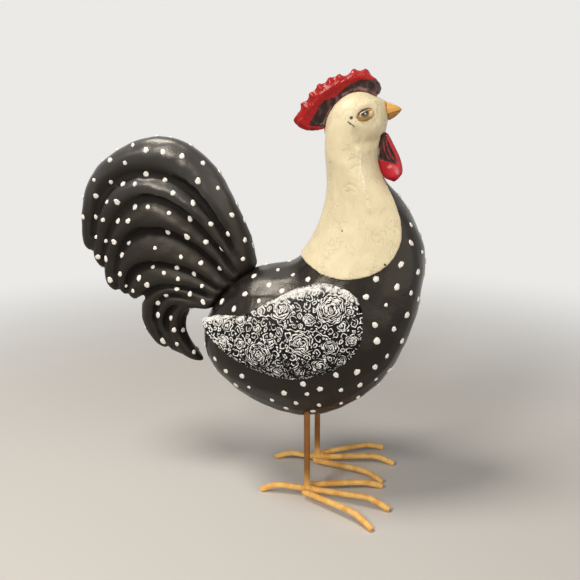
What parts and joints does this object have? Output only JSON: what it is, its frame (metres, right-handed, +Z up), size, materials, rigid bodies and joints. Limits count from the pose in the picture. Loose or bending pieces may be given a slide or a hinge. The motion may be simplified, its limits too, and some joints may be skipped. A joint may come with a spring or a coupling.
{
  "type": "rooster figurine",
  "caption": "Standing rooster ornament: smooth dotted body, curled fan tail, relief wings, slip-on neck casting, rose comb and bent-rod legs with splayed toes.",
  "frame": {"origin": "on the table, under the middle of the figurine's overall box", "axes": "+X towards the beak, +Y to the bird's left, +Z up"},
  "size_m": [0.2732, 0.1256, 0.3202],
  "materials": {
    "black_paint": "satin black paint on cast resin, with raised off-white dots",
    "cream_paint": "cream paint, soft satin, faint brush marks",
    "red_paint": "bright red paint with a dark brown wash in the hollows",
    "beak_paint": "orange-gold paint",
    "eye_gloss": "brown and black paint under clear gloss",
    "wing_relief": "black ground, raised scrollwork dry-brushed silver-white",
    "leg_paint": "orange-gold paint on steel rod, browner up the legs"
  },
  "bodies": {
    "root": {"body": "black_paint", "tail": "black_paint", "neck_and_head": "cream_paint", "comb": "red_paint", "beak": "beak_paint", "left_wattle": "red_paint", "right_wattle": "red_paint", "left_eye": "eye_gloss", "right_eye": "eye_gloss", "left_wing": "wing_relief", "right_wing": "wing_relief", "left_shank": "leg_paint", "right_shank": "leg_paint", "left_outer_toe": "leg_paint", "left_middle_toe": "leg_paint", "left_inner_toe": "leg_paint", "left_back_toe": "leg_paint", "right_outer_toe": "leg_paint", "right_middle_toe": "leg_paint", "right_inner_toe": "leg_paint", "right_back_toe": "leg_paint"}
  },
  "joints": []
}
